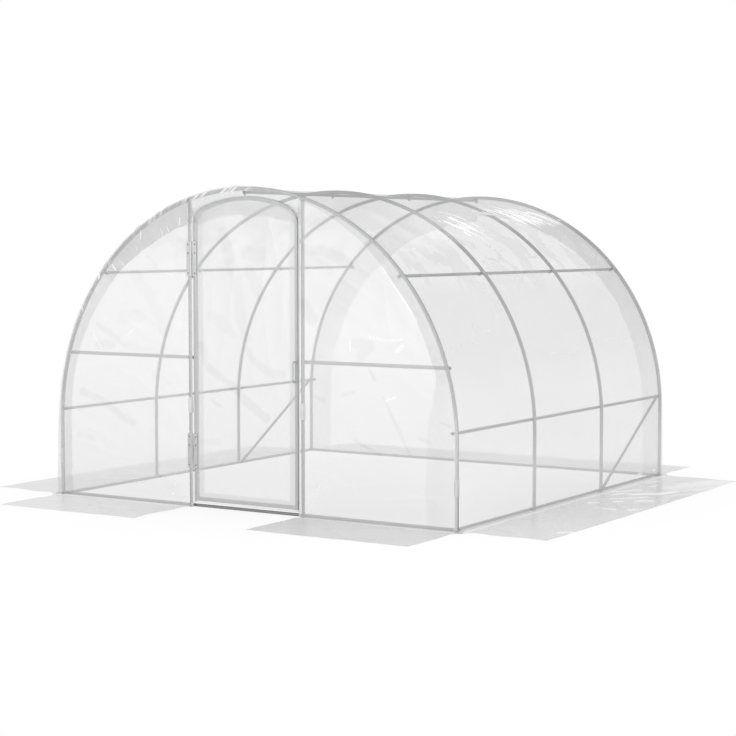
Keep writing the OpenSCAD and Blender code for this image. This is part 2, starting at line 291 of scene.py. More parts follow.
def value_noise(x, y, seed):
    """Smooth noise from 0 to 1 on a plane."""
    table = np.random.RandomState(seed).rand(LATTICE, LATTICE)
    x0 = np.floor(x).astype(int)
    y0 = np.floor(y).astype(int)
    u = x - x0
    v = y - y0
    u = u * u * (3 - 2 * u)
    v = v * v * (3 - 2 * v)
    a = table[x0 % LATTICE, y0 % LATTICE]
    b = table[(x0 + 1) % LATTICE, y0 % LATTICE]
    c = table[x0 % LATTICE, (y0 + 1) % LATTICE]
    d = table[(x0 + 1) % LATTICE, (y0 + 1) % LATTICE]
    return (a * (1 - u) + b * u) * (1 - v) + (c * (1 - u) + d * u) * v


def layered(x, y, seed, octaves=3):
    """Smooth noise from 0 to 1 with finer noise laid over it."""
    total = np.zeros_like(x)
    weight = 0.0
    for k in range(octaves):
        share = 0.5 ** k
        total = total + share * value_noise(x * 2 ** k, y * 2 ** k, seed + 17 * k)
        weight += share
    return total / weight


def creases(x, y, seed, angle, along, across, sharpness=2.0):
    """Long folds that run at an angle; 1 on a fold's crest and 0 between folds."""
    c, s = math.cos(angle), math.sin(angle)
    wander = layered(x * 1.3, y * 1.3, seed + 91, 2) - 0.5
    p = (x * c + y * s) / along
    q = (y * c - x * s) / across + 2.2 * wander
    return (1 - np.abs(2 * value_noise(p, q, seed) - 1)) ** sharpness


def smooth(x, low, high):
    """Soft step from 0 at low to 1 at high."""
    t = np.clip((x - low) / (high - low), 0, 1)
    return t * t * (3 - 2 * t)


def spot(x, z, centre, size):
    """Soft round patch, 1 in its middle."""
    return np.exp(-((x - centre[0]) / size[0]) ** 2 - ((z - centre[1]) / size[1]) ** 2)


def trace(x, z, lines):
    """Crisp strokes along broken lines, each given as (strength, half width, points)."""
    wobble = (layered(x * 14, z * 14, 71, 2) - 0.5) * 0.8
    total = np.zeros_like(x)
    for strength, half, points in lines:
        gap = np.full_like(x, 9.0)
        for (ax, az), (bx, bz) in zip(points[:-1], points[1:]):
            dx, dz = bx - ax, bz - az
            t = np.clip(((x - ax) * dx + (z - az) * dz) / (dx * dx + dz * dz), 0, 1)
            gap = np.minimum(gap, np.hypot(x - ax - t * dx, z - az - t * dz))
        total = np.maximum(total, strength * (1 - smooth(gap / half + wobble, 0.55, 1.3)))
    return total


STEEP = 0.13


def steepness(d, step_u, step_v):
    """How far a relief leans, from 0 on the flat to 1 on a steep flank."""
    slope_u, slope_v = np.gradient(d, step_u, step_v)
    return np.clip(np.hypot(slope_u, slope_v) / STEEP, 0, 1)


def sheet_mesh(name, points, material, flat, turn=False, **looks):
    """Smooth mesh over a grid of points; its faces look along rows crossed with columns, or back with turn.

    flat holds the place of each point in the cut sheet, in metres. looks say, point by point, how dense the
    film is (haze), where it is crumpled, where it has pale patches (cloud), where painted shade darkens it
    (shade) and where a painted highlight turns it white (sheen)."""
    rows, columns = points.shape[:2]
    index = np.arange(rows * columns).reshape(rows, columns)
    faces = np.stack([index[:-1, :-1], index[1:, :-1], index[1:, 1:], index[:-1, 1:]], -1).reshape(-1, 4)
    if turn:
        faces = faces[:, ::-1]
    mesh = bpy.data.meshes.new(name)
    mesh.from_pydata(points.reshape(-1, 3).tolist(), [], faces.tolist())
    mesh.polygons.foreach_set("use_smooth", np.ones(len(faces), bool))
    corners = np.stack(flat, -1).reshape(-1, 2)[faces.reshape(-1)]
    mesh.uv_layers.new(name="flat").data.foreach_set("uv", corners.astype(np.float32).reshape(-1))
    for word in ("haze", "crumple", "cloud", "shade", "sheen"):
        values = np.broadcast_to(looks.get(word, 0.0), (rows, columns))
        made = mesh.attributes.new(word, "FLOAT", "POINT")
        made.data.foreach_set("value", np.clip(values, 0, 1).astype(np.float32).reshape(-1))
    mesh.materials.append(material)
    mesh.update()
    piece = bpy.data.objects.new(name, mesh)
    scene.collection.objects.link(piece)
    return piece


def arch_height(x, r):
    """Height of an arch of radius r on the legs, at x."""
    return LEG + np.sqrt(np.maximum(r * r - x * x, 0))


def arch_line(s, r):
    """Point and outward direction at a distance s round the tunnel's outline, from the left foot."""
    arc = math.pi * r
    angle = np.clip((s - LEG) / r, 0, math.pi)
    x = -r * np.cos(angle)
    z = LEG + r * np.sin(angle)
    z = np.where(s < LEG, s, np.where(s > LEG + arc, 2 * LEG + arc - s, z))
    return x, z, -np.cos(angle), np.sin(angle)


# How far the cover stands off the legs at the ground, and the height at which it meets them
LEFT_SLACK, LEFT_SLACK_TOP = 0.026, 0.95
RIGHT_SLACK, RIGHT_SLACK_TOP = 0.008, 0.6


def wall_slack(x, z):
    """How far the film stands off the legs towards the ground."""
    left = LEFT_SLACK * (1 - smooth(z, 0.0, LEFT_SLACK_TOP))
    return np.where(x < 0, left, RIGHT_SLACK * (1 - smooth(z, 0.0, RIGHT_SLACK_TOP)))


def bay_sag(y):
    """0 on the hoops and 1 midway between them."""
    t = ((y - FRONT_Y) / BAY) % 1.0
    inside = (y > FRONT_Y) & (y < REAR_Y)
    return np.where(inside, 4 * t * (1 - t), 0.0)


RIDGE_S = LEG + math.pi * COVER_R / 2
OUTLINE_S = 2 * RIDGE_S
RUFFLE_LEFT, RUFFLE_RIGHT = 0.010, 0.004
RUFFLE_LENGTH = 0.045


def ruffle(s, z):
    """How far the cover's front edge stands off the hoop in small ruffles, more on the left."""
    size = np.where(s < RIDGE_S, RUFFLE_LEFT, RUFFLE_RIGHT)
    return size * value_noise(s / RUFFLE_LENGTH, s * 0 + 3.5, 91) * smooth(z, 0.6, 0.9)


GROUND_LIFT = 0.002
WALL_SAG, ROOF_SAG = 0.004, 0.016
CRUMPLE_FOLD, ROOF_FOLD, SWELL = 0.009, 0.004, 0.012
DEEPEST_WALL, DEEPEST_ROOF = 0.009, 0.0205
# Crumpled places of the roof: strength, distance to the right of the ridge and y, and reach
CRUMPLES = [
    (1.0, (0.80, -0.13), (0.15, 0.22)),
    (1.6, (0.66, 0.92), (0.13, 0.42)),
    (0.5, (-0.72, 0.35), (0.22, 0.40)),
]


def cover_tones(s, y, x, z, relief):
    """Haze, shade and sheen of the cover: denser on the right and near the ground. Painted shade darkens the
    right half, the walls upwards, the roof and a patch over the front bay; painted light keeps the left half
    near white as if lit through from behind and brightens the right foot and the top of the rear bay;
    painted glints lie at the right rear foot.
    """
    lit = smooth(s - RIDGE_S, -0.35, 0.1)
    low = (1 - smooth(z, 0.25, 0.6)) * (0.3 + 0.7 * smooth(z, 0.02, 0.05))
    left_haze = 0.33 + 0.17 * smooth(z, 1.35, 1.6)
    right_haze = 0.70 + 0.24 * low
    haze = left_haze * (1 - lit) + right_haze * lit + 0.06 * relief
    pale_end = smooth(y, 0.3, 0.8) * smooth(z, 1.75, 1.85)
    # Painted shade, deeper up the walls and on the roof, and lifted by painted light at the top of the rear
    # bay
    shade = 0.20 * smooth(z, 0.6, 1.15) + 0.14 * smooth(z, 1.45, 1.65)
    shade = shade * (1 - pale_end) + 0.18 * spot(s, y, (OUTLINE_S - 2.35, -1.05), (0.4, 0.4))
    # Painted light: the right half lightens towards the ground as if lit by the floor, and the left half
    # stays near white as if lit through from behind
    right_tone = (1 - shade) * (1 + 0.16 * low) * RIGHT_LEVEL / COVER_LEVEL
    left_tone = 1 - 0.35 * smooth(z, 1.35, 1.6)
    shade = 1 - right_tone * lit - left_tone * (1 - lit)
    # Painted glints at the foot of the right rear corner
    glint_spot = spot(z, y, (0.05, 1.2), (0.035, 0.26)) * (x > 0)
    sheen = 0.5 * smooth(value_noise(y / 0.09, z / 0.009, 77) + glint_spot, 1.5, 1.6)
    return haze, shade, sheen


def make_cover():
    """The main sheet: it lies on the hoops, sags between them and is crumpled in places near the ridge."""
    s, y = np.meshgrid(np.linspace(GROUND_LIFT, OUTLINE_S - GROUND_LIFT, 420),
                       np.linspace(-COVER_END, COVER_END, 220), indexing="ij")
    x, z, nx, nz = arch_line(s, COVER_R)
    slack = bay_sag(y)
    roof = np.clip(nz, 0, 1)
    slope = s - RIDGE_S
    flank = np.abs(slope)
    sag = slack * (WALL_SAG + ROOF_SAG * roof ** 1.5)
    crumple = sum(strength * spot(slope, y, centre, reach) for strength, centre, reach in CRUMPLES)
    folds = creases(s, y, 5, 0.74, 0.5, 0.05) * CRUMPLE_FOLD * np.clip(crumple, 0, 1)
    folds = folds + creases(s, y, 8, 0.35, 0.9, 0.16) * ROOF_FOLD * smooth(z, 1.25, 1.5)
    soft = (layered(s * 1.6, y * 1.6, 21) - 0.5) * SWELL
    d = (folds - 0.003 + soft) * slack ** 0.6 * smooth(z, 0.0, 0.25)
    relief = steepness(d, s[1, 0] - s[0, 0], y[0, 1] - y[0, 0])
    d = d - sag
    deepest = DEEPEST_WALL + (DEEPEST_ROOF - DEEPEST_WALL) * smooth(roof, 0.1, 0.4)
    d = np.where(d < 0, -deepest * np.tanh(-d / deepest), d) + wall_slack(x, z)
    haze, shade, sheen = cover_tones(s, y, x, z, relief)
    band = smooth(flank, 0.84, 0.95) * (1 - smooth(flank, 1.25, 1.5))
    d = d + ruffle(s, z) * smooth(-y, -FRONT_Y - 0.01, COVER_END)
    points = np.stack([x + nx * d, y, z + nz * d], -1)
    return sheet_mesh("cover_sheet", points, cover_look, (s, y), haze=haze, crumple=crumple, cloud=band,
                      shade=shade, sheen=sheen)


# Level about which an end film's wrinkles stand out
END_LEVEL = -0.004


def end_wrinkles(x, z, seed, lean):
    """Folds of an end film, as a distance towards the outside."""
    d = creases(x, z, seed, lean, 0.9, 0.19) * 0.007
    d = d + creases(x, z, seed + 3, -0.55, 0.45, 0.1) * 0.004
    d = d + (layered(x * 2.2, z * 2.2, seed + 9) - 0.5) * 0.016
    d = d + creases(x, z, seed + 5, 0.08, 0.4, 0.05) * 0.006 * (1 - smooth(z, 0.1, 0.4))
    return d - 0.006


def end_grid(x0, x1, r, columns, rows):
    """Columns from x0 to x1, closer where the outline is steep, and rows from the ground to the outline."""
    a0 = math.acos(max(-1.0, min(1.0, x0 / r)))
    a1 = math.acos(max(-1.0, min(1.0, x1 / r)))
    angle, v = np.meshgrid(np.linspace(a0, a1, columns), np.linspace(0, 1, rows), indexing="ij")
    x = r * np.cos(angle)
    return x, GROUND_LIFT + v * (arch_height(x, r) - GROUND_LIFT)


END_CLEAR = 0.0008
POST_LAP = 0.0135
END_R = COVER_R - END_CLEAR
FLAP_X = FILM_EDGE_X - POST_LAP


def from_outline(x, z):
    """Distance inwards from the outline of an end film."""
    return END_R - np.where(z < LEG, np.abs(x), np.hypot(x, z - LEG))


def raised_haze(d, level, held):
    """Extra haze where a wrinkle stands off the level of the film."""
    return 0.06 * np.clip(np.abs(d - level) / 0.012, 0, 1) * held


# Facets darkened by painted shade, and painted glints, of the front films by side, as strokes: strength,
# half width and points in x and z
FRONT_FACETS = {
    -1: [(0.9, 0.026, ((-1.31, 0.69), (-1.13, 0.64), (-0.98, 0.55), (-0.88, 0.51))),
         (0.7, 0.018, ((-1.17, 1.13), (-1.04, 1.07), (-0.95, 1.00))),
         (0.7, 0.028, ((-1.17, 1.00), (-1.04, 1.00))), (0.35, 0.050, ((-0.94, 1.18), (-0.81, 1.20))),
         (0.35, 0.045, ((-0.86, 1.45), (-0.74, 1.32), (-0.62, 1.10))),
         (0.35, 0.030, ((-0.93, 1.00), (-0.70, 0.97))), (0.4, 0.020, ((-1.34, 0.40), (-1.22, 0.39))),
         (0.6, 0.028, ((-0.58, 1.70), (-0.45, 1.65))), (0.5, 0.014, ((-0.76, 1.58), (-0.68, 1.52)))],
    1: [(0.8, 0.034, ((0.46, 1.62), (0.64, 1.59), (0.76, 1.54))), (0.8, 0.050, ((0.44, 1.29), (0.50, 1.20))),
        (0.7, 0.036, ((0.80, 1.07), (0.90, 1.06), (0.85, 1.00))), (0.7, 0.012, ((0.90, 0.92), (0.94, 0.86))),
        (0.6, 0.012, ((0.72, 0.76), (0.80, 0.78))), (0.8, 0.009, ((1.00, 0.76), (1.07, 0.63), (1.18, 0.43))),
        (0.5, 0.018, ((1.09, 0.60), (1.14, 0.50))), (1.0, 0.010, ((0.80, 0.49), (0.90, 0.45), (0.98, 0.42))),
        (0.9, 0.012, ((1.39, 0.63), (1.45, 0.61))), (0.7, 0.011, ((1.24, 0.53), (1.32, 0.51))),
        (0.7, 0.016, ((0.52, 0.74), (0.58, 0.72)))],
}
FRONT_SHEEN = {
    -1: [(0.5, 0.005, ((-1.20, 1.06), (-1.14, 0.98))), (0.5, 0.004, ((-0.93, 1.06), (-0.86, 1.12))),
         (0.7, 0.004, ((-0.54, 0.14), (-0.48, 0.19))), (0.6, 0.004, ((-0.57, 0.08), (-0.56, 0.07)))],
    1: [(0.6, 0.006, ((0.77, 1.08), (0.77, 1.02))), (0.5, 0.007, ((0.90, 1.11), (1.00, 1.09), (1.13, 1.10))),
        (0.6, 0.014, ((1.09, 1.03), (1.13, 1.06))), (0.6, 0.008, ((1.02, 0.74), (1.08, 0.76))),
        (0.5, 0.004, ((0.59, 0.28), (0.54, 0.18), (0.48, 0.05))),
        (0.8, 0.007, ((1.00, 1.51), (1.13, 1.34), (1.23, 1.21)))],
}


# Share, seed and lean of the wrinkles, painted shade of the upper part and thinning over the post, by side
FRONT_SIDES = {-1: (1.0, 40, 1.05, 0.0, 0.50), 1: (0.45, 60, 2.0, 0.07, 0.30)}
FACET_SHADE = 0.13


def make_front_film(side):
    """Film beside the door, from the hoop to its flap round the post."""
    share, seed, lean, upper_shade, thin = FRONT_SIDES[side]
    x, z = end_grid(side * END_R, side * FLAP_X, END_R, 190, 190)
    from_hoop = from_outline(x, z)
    from_post = np.abs(x) - POST_X
    held = smooth(from_hoop, 0.02, 0.2) * smooth(from_post, 0.012, 0.13)
    held = held * smooth(z, 0.03, 0.2) * smooth(np.abs(z - MID_RAIL_Z), 0.0, 0.12)
    d = share * end_wrinkles(x, z, seed, lean)
    # Painted shade on the facets and over the upper part of the right film
    shade = FACET_SHADE * trace(x, z, FRONT_FACETS[side]) + upper_shade * smooth(z, 1.15, 1.35)
    haze = 0.68 + raised_haze(d, END_LEVEL, held)
    sleeve = 1 - smooth(np.abs(from_post), 0.010, 0.016)
    mottled = (layered(z * 5.0, x * 0, 45 + side) - 0.5) * 0.3 - thin
    hugging = (1 - smooth(from_hoop, 0.022, 0.030)) * (1 - smooth(z, 0.55, 0.75))
    haze = haze + sleeve * mottled + 0.25 * (from_post < -0.011) + 0.15 * hugging
    points = np.stack([x, FRONT_FILM_Y - d * held, z], -1)
    # Painted glints, and painted light that whitens the film over the legs
    sheen = np.maximum(0.6 * trace(x, z, FRONT_SHEEN[side]), 0.16 * hugging)
    name = "front_sheet_left" if side < 0 else "front_sheet_right"
    return sheet_mesh(name, points, end_look, (x, z), turn=side > 0, haze=haze, shade=shade, sheen=sheen)


def make_rear_film():
    """Film over the whole back end."""
    x, z = end_grid(END_R, -END_R, END_R, 240, 170)
    held = smooth(from_outline(x, z), 0.02, 0.25) * smooth(z, 0.03, 0.2)
    d = end_wrinkles(x, z, 80, 1.3)
    haze = 0.28 + raised_haze(d, END_LEVEL, held)
    # Painted shade along some creases of the rear film
    shade = 0.1 * smooth(creases(x, z, 86, 0.9, 0.8, 0.5, 1.0), 0.86, 0.93)
    points = np.stack([x, REAR_FILM_Y + d * held, z], -1)
    return sheet_mesh("rear_sheet", points, rear_look, (x, z), haze=haze, shade=shade)


def fold_width(name, angle, on_right):
    """Width of the cover's edge by the angle round the arch in degrees, from the ground to the ridge."""
    if name == "front_left":
        return np.interp(angle, (0, 20, 41, 50, 74), (0.105, 0.105, 0.115, 0.13, 0.16))
    if name == "front_right":
        return np.interp(angle, (0, 6, 16, 25, 42, 55, 74), (0.21, 0.19, 0.085, 0.085, 0.085, 0.055, 0.03))
    return np.where(on_right, 0.15, 0.19)


def fold_haze(name, angle, on_right):
    """Haze of the cover's edge by the same angle: denser towards the ridge."""
    if name == "front_left":
        return 0.36 + 0.30 * smooth(angle, 40, 43)
    if name == "front_right":
        return 0.16 + 0.22 * smooth(angle, 8, 18)
    return 0.40 + np.where(on_right, 0.26, 0.10) * smooth(angle, 15, 45)


PLEAT = 0.013
GATHER = 0.034
# Stretches of the front left edge, by the distance from its foot, that are drawn tight over the hoop
TIGHT_FROM, TIGHT_TO, TIGHT_AGAIN = (0.95, 1.1), (1.60, 1.72), (1.86, 2.0)


def slashes(along, seed):
    """Irregular painted glints, as pale slashes, where the film is drawn tight over a tube."""
    fine = smooth(value_noise(along / PLEAT, along * 0 + 0.5, seed), 0.52, 0.74)
    return fine * smooth(layered(along * 7, along * 0 + 4.5, seed + 1), 0.30, 0.52)


# Painted glints in the front left fold, as short white strokes
FOLD_GLINTS = [
    (1.0, 0.006, ((-0.804, 1.733), (-0.805, 1.683))), (0.8, 0.006, ((-0.643, 1.745), (-0.627, 1.701))),
    (0.8, 0.006, ((-0.595, 1.764), (-0.571, 1.720))), (0.8, 0.006, ((-0.491, 1.813), (-0.491, 1.776))),
    (0.8, 0.007, ((-0.444, 1.794), (-0.421, 1.776))), (0.9, 0.008, ((-1.037, 1.516), (-1.012, 1.484))),
    (0.7, 0.006, ((-0.846, 1.638), (-0.830, 1.613))),
]


def make_fold(name, y, s0, s1, facing, seed, columns):
    """Band of the cover folded over an end hoop, with gathers that fade towards its uneven free edge."""
    s, v = np.meshgrid(np.linspace(s0, s1, columns), np.linspace(0.0, 1.0, 24), indexing="ij")
    x, z, nx, nz = arch_line(s, COVER_R)
    angle = np.degrees(np.arcsin(np.clip(nz, 0, 1)))
    ragged = (layered(s * 3.0, s * 0 + 0.5, seed, 4) - 0.5) * 0.25
    depth = v * fold_width(name, angle, x > 0) * (1 + ragged)
    bent = smooth(nz, 0.02, 0.3)
    gather = (value_noise(s / GATHER, depth * 3.0, seed + 4) - 0.35) * 0.010 * bent
    gather = gather + (layered(s * 2.5, depth * 6, seed + 6) - 0.4) * 0.008
    d = np.maximum(gather * smooth(depth, 0.012, 0.06), 0.0)
    on_tube = 1 - smooth(depth, 0.024, 0.030)
    upper = smooth(s, *TIGHT_AGAIN)
    tight = smooth(s, *TIGHT_FROM) * (1 - smooth(s, *TIGHT_TO)) + upper
    # Painted glints over the hoop and in the fold, on the front left only
    sheen = (0.8 - 0.3 * upper) * slashes(s + depth * 0.9, 93) * on_tube * tight
    sheen = (sheen + 0.7 * trace(x - nx * depth, z - nz * depth, FOLD_GLINTS)) * (name == "front_left")
    haze = fold_haze(name, angle, x > 0) + 0.10 * np.clip(gather / 0.008, 0, 1) - 0.05
    on_edge = 1 - smooth(depth, 0.0, 0.03)
    raised = ruffle(s, z) * on_edge * (facing < 0)
    inward = depth - raised
    points = np.stack([x - nx * (inward - wall_slack(x, z) * on_edge), y + facing * d, z - nz * inward], -1)
    cut = depth[:, -1]
    band = sheet_mesh("fold_" + name, points, fold_look, (s, depth), turn=facing > 0, haze=haze, sheen=sheen)
    return band, (s1 - s0, float(cut.max())), float(np.trapz(cut, s[:, 0]))


HEAD_FOLD_LOW = 1.826
HEAD_FOLD_SIDE = 0.03
RIDGE_SLIT = 0.002


def make_head_fold():
    """The cover's edge behind the door's head, hung from the hoop and slit round the ridge tube."""
    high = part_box("cover_fold_front_head")[1]
    half = high[0] + HEAD_FOLD_SIDE
    top_r = high[2] - LEG
    slit = RAIL_R + RIDGE_SLIT
    angle, v = np.meshgrid(np.linspace(math.asin(-half / top_r), math.asin(half / top_r), 180),
                           np.linspace(0, 1, 26), indexing="ij")
    drop = high[2] - HEAD_FOLD_LOW + (layered(angle * 9, angle * 0 + 0.5, 410, 4) - 0.5) * 0.04
    r = top_r - v * drop
    x = r * np.sin(angle)
    z = LEG + r * np.cos(angle)
    away = np.hypot(x, z - RIDGE_Z)
    push = np.maximum(slit - away, 0) * (away < slit)
    z = z + push * np.where(z > RIDGE_Z, 1, -1)
    d = (layered(x * 9, z * 5, 415) - 0.5) * 0.003 * v
    haze = 0.20 + 0.55 * smooth(v, 0.25, 0.6) + 0.2 * (layered(x * 5, z * 3, 417) - 0.5)
    # Painted glint along parts of the fold's lower edge
    edge_glint = 0.9 * smooth(v, 0.90, 0.96) * smooth(layered(x * 12, x * 0 + 1.5, 419), 0.5, 0.6)
    points = np.stack([x, FOLD_HEAD_Y + np.maximum(d, 0), z], -1)
    cut = (drop * (1 - drop / (2 * top_r)))[:, 0]
    along = angle[:, 0] * top_r
    flat = (float(along[-1] - along[0]), float(drop.max()))
    band = sheet_mesh("fold_front_head", points, fold_look, (angle * top_r, v * drop), turn=True, haze=haze,
                      sheen=edge_glint)
    return band, flat, float(np.trapz(cut, along))


SKIRT_STEP = 0.02
SKIRT_LIFT = 0.0012
SKIRT_HEEL = 0.012
SLIT_OUT, SLIT_HALF = 0.048, 0.006


def make_skirt(name, corner, along, out, length, width, seed, haze, flaps, pale=(), dark=()):
    """Film spread on the ground from the foot of a wall, with flat ripples and an uneven edge.

    flaps are the widths of the tongues that run round the corner at each end; pale are streaks where the
    film clears to the white floor as painted glints, and dark are darker streaks: painted shade on the right
    skirt and a seam on the front left."""
    columns = max(24, int(length / SKIRT_STEP))
    u, v = np.meshgrid(np.linspace(0, 1, columns), np.linspace(0, 1, 44), indexing="ij")
    p, q = u * length, v * width
    wave = creases(p, q, seed, 0.5, 0.7, 0.16, 1.5) * 0.009 + creases(p, q, seed + 3, 2.2, 0.5, 0.16) * 0.005
    wave = wave * (0.35 + 0.65 * layered(p * 1.1, q * 1.1, seed + 8))
    flat = smooth(v, 0.0, 0.12) * (1 - 0.6 * smooth(v, 0.75, 1.0))
    z = SKIRT_LIFT + wave * flat + SKIRT_HEEL * (1 - smooth(v, 0.0, 0.03))
    edge = (layered(p * 1.2, q * 0, seed + 5, 2) - 0.5) * 0.02 * smooth(v, 0.4, 1.0)
    side = (layered(q * 1.4, p * 0, seed + 7, 2) - 0.5) * 0.02 * (2 * u - 1)
    tongue = 1 - smooth(q, 0.03, 0.10)
    side = side + tongue * (flaps[1] * smooth(u, 0.9, 1.0) - flaps[0] * (1 - smooth(u, 0.0, 0.1)))
    a, o = np.array(along), np.array(out)
    ground = np.array(corner) + (p + side)[..., None] * a + (q + edge)[..., None] * o
    points = np.concatenate([ground, z[..., None]], -1)
    broken = smooth(layered(p * 3.0, p * 0 + 2.5, seed + 11, 2), 0.42, 0.54)
    slit = np.exp(-((q - SLIT_OUT) / SLIT_HALF) ** 2) * broken
    # Painted glints: along the pale streaks the film clears to the white floor
    clear = np.maximum(0.7 * slit, trace(points[..., 0], points[..., 1], pale))
    haze = haze + 0.08 * np.clip(wave / 0.012, 0, 1) - 0.2 * (1 - smooth(q, 0.040, 0.050))
    haze = haze * (1 - 0.92 * clear)
    # Darker along the dark streaks: painted shade on the right skirt, a seam on the front left
    return sheet_mesh(name, points, skirt_look, (p, q), turn=a[0] * o[1] < a[1] * o[0],
                      haze=haze, shade=0.4 * trace(points[..., 0], points[..., 1], dark))


door_low, door_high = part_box("door_film")
DOOR_WRAP = 0.0055
DOOR_RETURN = 0.024
DOOR_HALF = door_high[0] + DOOR_WRAP
DOOR_BOTTOM = door_low[2]
DOOR_TOP = door_high[2] + DOOR_WRAP
DOOR_Y = middle("door_film", 1)
DOOR_RISE = 0.166
DOOR_SHOULDER = 0.118
DOOR_TUBE_LAP = 0.0095
FILM_OVERLAP = DOOR_TUBE_LAP + DOOR_WRAP
DOOR_SPRING = DOOR_TOP - DOOR_RISE - FILM_OVERLAP


def door_head(x):
    """Height of the door's three-centred head at x."""
    a, b, r = DOOR_HALF, DOOR_RISE + FILM_OVERLAP, DOOR_SHOULDER + FILM_OVERLAP
    crown = ((a - r) ** 2 + b * b - r * r) / (2 * (b - r))
    turn = math.asin((a - r) / (crown - r))
    x = np.abs(x)
    mid = DOOR_TOP - crown + np.sqrt(np.maximum(crown ** 2 - x * x, 0))
    end = DOOR_SPRING + np.sqrt(np.maximum(r * r - np.maximum(x - (a - r), 0) ** 2, 0))
    return np.where(x < crown * math.sin(turn), mid, end)


# Start and width of the door film's hems, and its facets, which painted shade darkens
HEM_IN = 0.022
HEM_LEFT = 0.080
HEM_RIGHT = 0.058
HEM_FOOT = 0.066
HEM_SOFT = 0.002
DOOR_FACETS = [
    (0.9, 0.030, ((-0.27, 0.89), (-0.15, 0.81), (0.06, 0.66), (0.17, 0.59))),
    (0.6, 0.028, ((0.02, 1.01), (0.08, 0.93), (0.17, 0.87), (0.29, 0.86))),
    (0.45, 0.045, ((-0.16, 1.72), (-0.07, 1.47), (-0.03, 1.25), (0.01, 1.08))),
    (0.5, 0.050, ((0.02, 1.60), (0.14, 1.57))), (0.45, 0.040, ((0.04, 1.49), (0.13, 1.33))),
    (0.35, 0.040, ((-0.24, 1.21), (-0.10, 1.10))), (0.6, 0.014, ((-0.24, 0.68), (-0.18, 0.65))),
    (0.7, 0.024, ((-0.33, 1.02), (-0.30, 0.91))), (0.4, 0.022, ((-0.35, 0.42), (-0.20, 0.42))),
]


def make_door_film():
    """Film stretched over the door and turned back round its tube, doubled along its sides and foot."""
    angle, v = np.meshgrid(np.linspace(0, math.pi, 180), np.linspace(0, 1, 240), indexing="ij")
    cut_x = -(DOOR_HALF + DOOR_RETURN) * np.cos(angle)
    x = np.clip(cut_x, -DOOR_HALF, DOOR_HALF)
    top = door_head(x)
    cut_z = DOOR_BOTTOM + v * (top + DOOR_RETURN - DOOR_BOTTOM)
    z = np.minimum(cut_z, top)
    inset = np.minimum(np.minimum(DOOR_HALF - np.abs(cut_x), top - cut_z), z - DOOR_BOTTOM)
    back = np.clip(-inset, 0, DOOR_RETURN)
    held = smooth(inset, 0.03, 0.14)
    d = creases(x, z, 120, 1.45, 1.2, 0.13) * 0.006 + creases(x, z, 125, 1.75, 0.9, 0.2) * 0.005
    d = d + (layered(x * 2.4, z * 1.6, 131) - 0.5) * 0.012 - 0.005
    # Painted shade on the facets
    shade = 0.15 * trace(x, z, DOOR_FACETS)
    side_hem = np.where(x < 0, HEM_LEFT, HEM_RIGHT)
    over = np.maximum(side_hem - (DOOR_HALF - np.abs(x)), HEM_FOOT - (z - DOOR_BOTTOM))
    hem = smooth(over, -HEM_SOFT, HEM_SOFT) * smooth(inset, HEM_IN - HEM_SOFT, HEM_IN + HEM_SOFT)
    haze = 0.66 + raised_haze(d, 0.0, held) + 0.30 * hem
    haze = haze - 0.10 * (1 - smooth(inset, HEM_IN - HEM_SOFT, HEM_IN)) * (x < 0)
    haze = haze + 0.34 * (1 - smooth(inset, 0.001, 0.004))
    points = np.stack([x, DOOR_Y - d * held + back, z], -1)
    return sheet_mesh("door_sheet", points, door_look, (cut_x, cut_z), haze=haze, shade=shade)


head_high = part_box("front_film_head")[1]
HEAD_HALF = head_high[0]
HEAD_GAP = 0.0065
HEAD_STRIP = 0.05
HEAD_FOOT = DOOR_SPRING + HEAD_STRIP


def head_edge(x):
    """Lower edge of the film over the door."""
    over = door_head(np.minimum(np.abs(x), DOOR_HALF)) + HEAD_GAP
    return np.where(np.abs(x) < DOOR_HALF, np.maximum(over, HEAD_FOOT), HEAD_FOOT)


def make_head_film():
    """Film between the front hoop and the door's head, with rows that lie closer towards the hoop."""
    rows = 1 - np.linspace(1, 0, 40) ** 2
    x, v = np.meshgrid(np.linspace(-HEAD_HALF, HEAD_HALF, 440), rows, indexing="ij")
    top = arch_height(x, END_R)
    bottom = head_edge(x)
    z = bottom + v * (top - bottom)
    from_top = top - z
    d = (layered(x * 6, z * 6, 150) - 0.5) * 0.004 * smooth(from_top, 0.01, 0.04)
    pleat = (1 - smooth(from_top, 0.022, 0.028)) * (1 - smooth(x, -0.02, 0.10))
    points = np.stack([x, FRONT_FILM_Y - np.maximum(d, 0), z], -1)
    # Painted glints, as fine slashes along the top over the hoop
    fine = smooth(value_noise((x + from_top * 1.6) / PLEAT, x * 0 + 0.5, 95), 0.42, 0.66)
    return sheet_mesh("head_sheet", points, head_look, (x, z),
                      haze=0.5 + 0.12 * pleat, sheen=0.6 * pleat * fine)


def place_film(piece, node_name, body):
    """Puts a film sheet in the place of its CAD node, on a body."""
    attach(piece, body)
    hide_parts(node_name)


place_film(make_cover(), "cover_film", "tunnel")

for side, word in ((-1, "left"), (1, "right")):
    place_film(make_front_film(side), "front_film_" + word, "tunnel")
place_film(make_rear_film(), "rear_film", "tunnel")
place_film(make_head_film(), "front_film_head", "tunnel")

post_s = LEG + COVER_R * math.acos(FILM_EDGE_X / COVER_R)
FOLD_END = 0.003
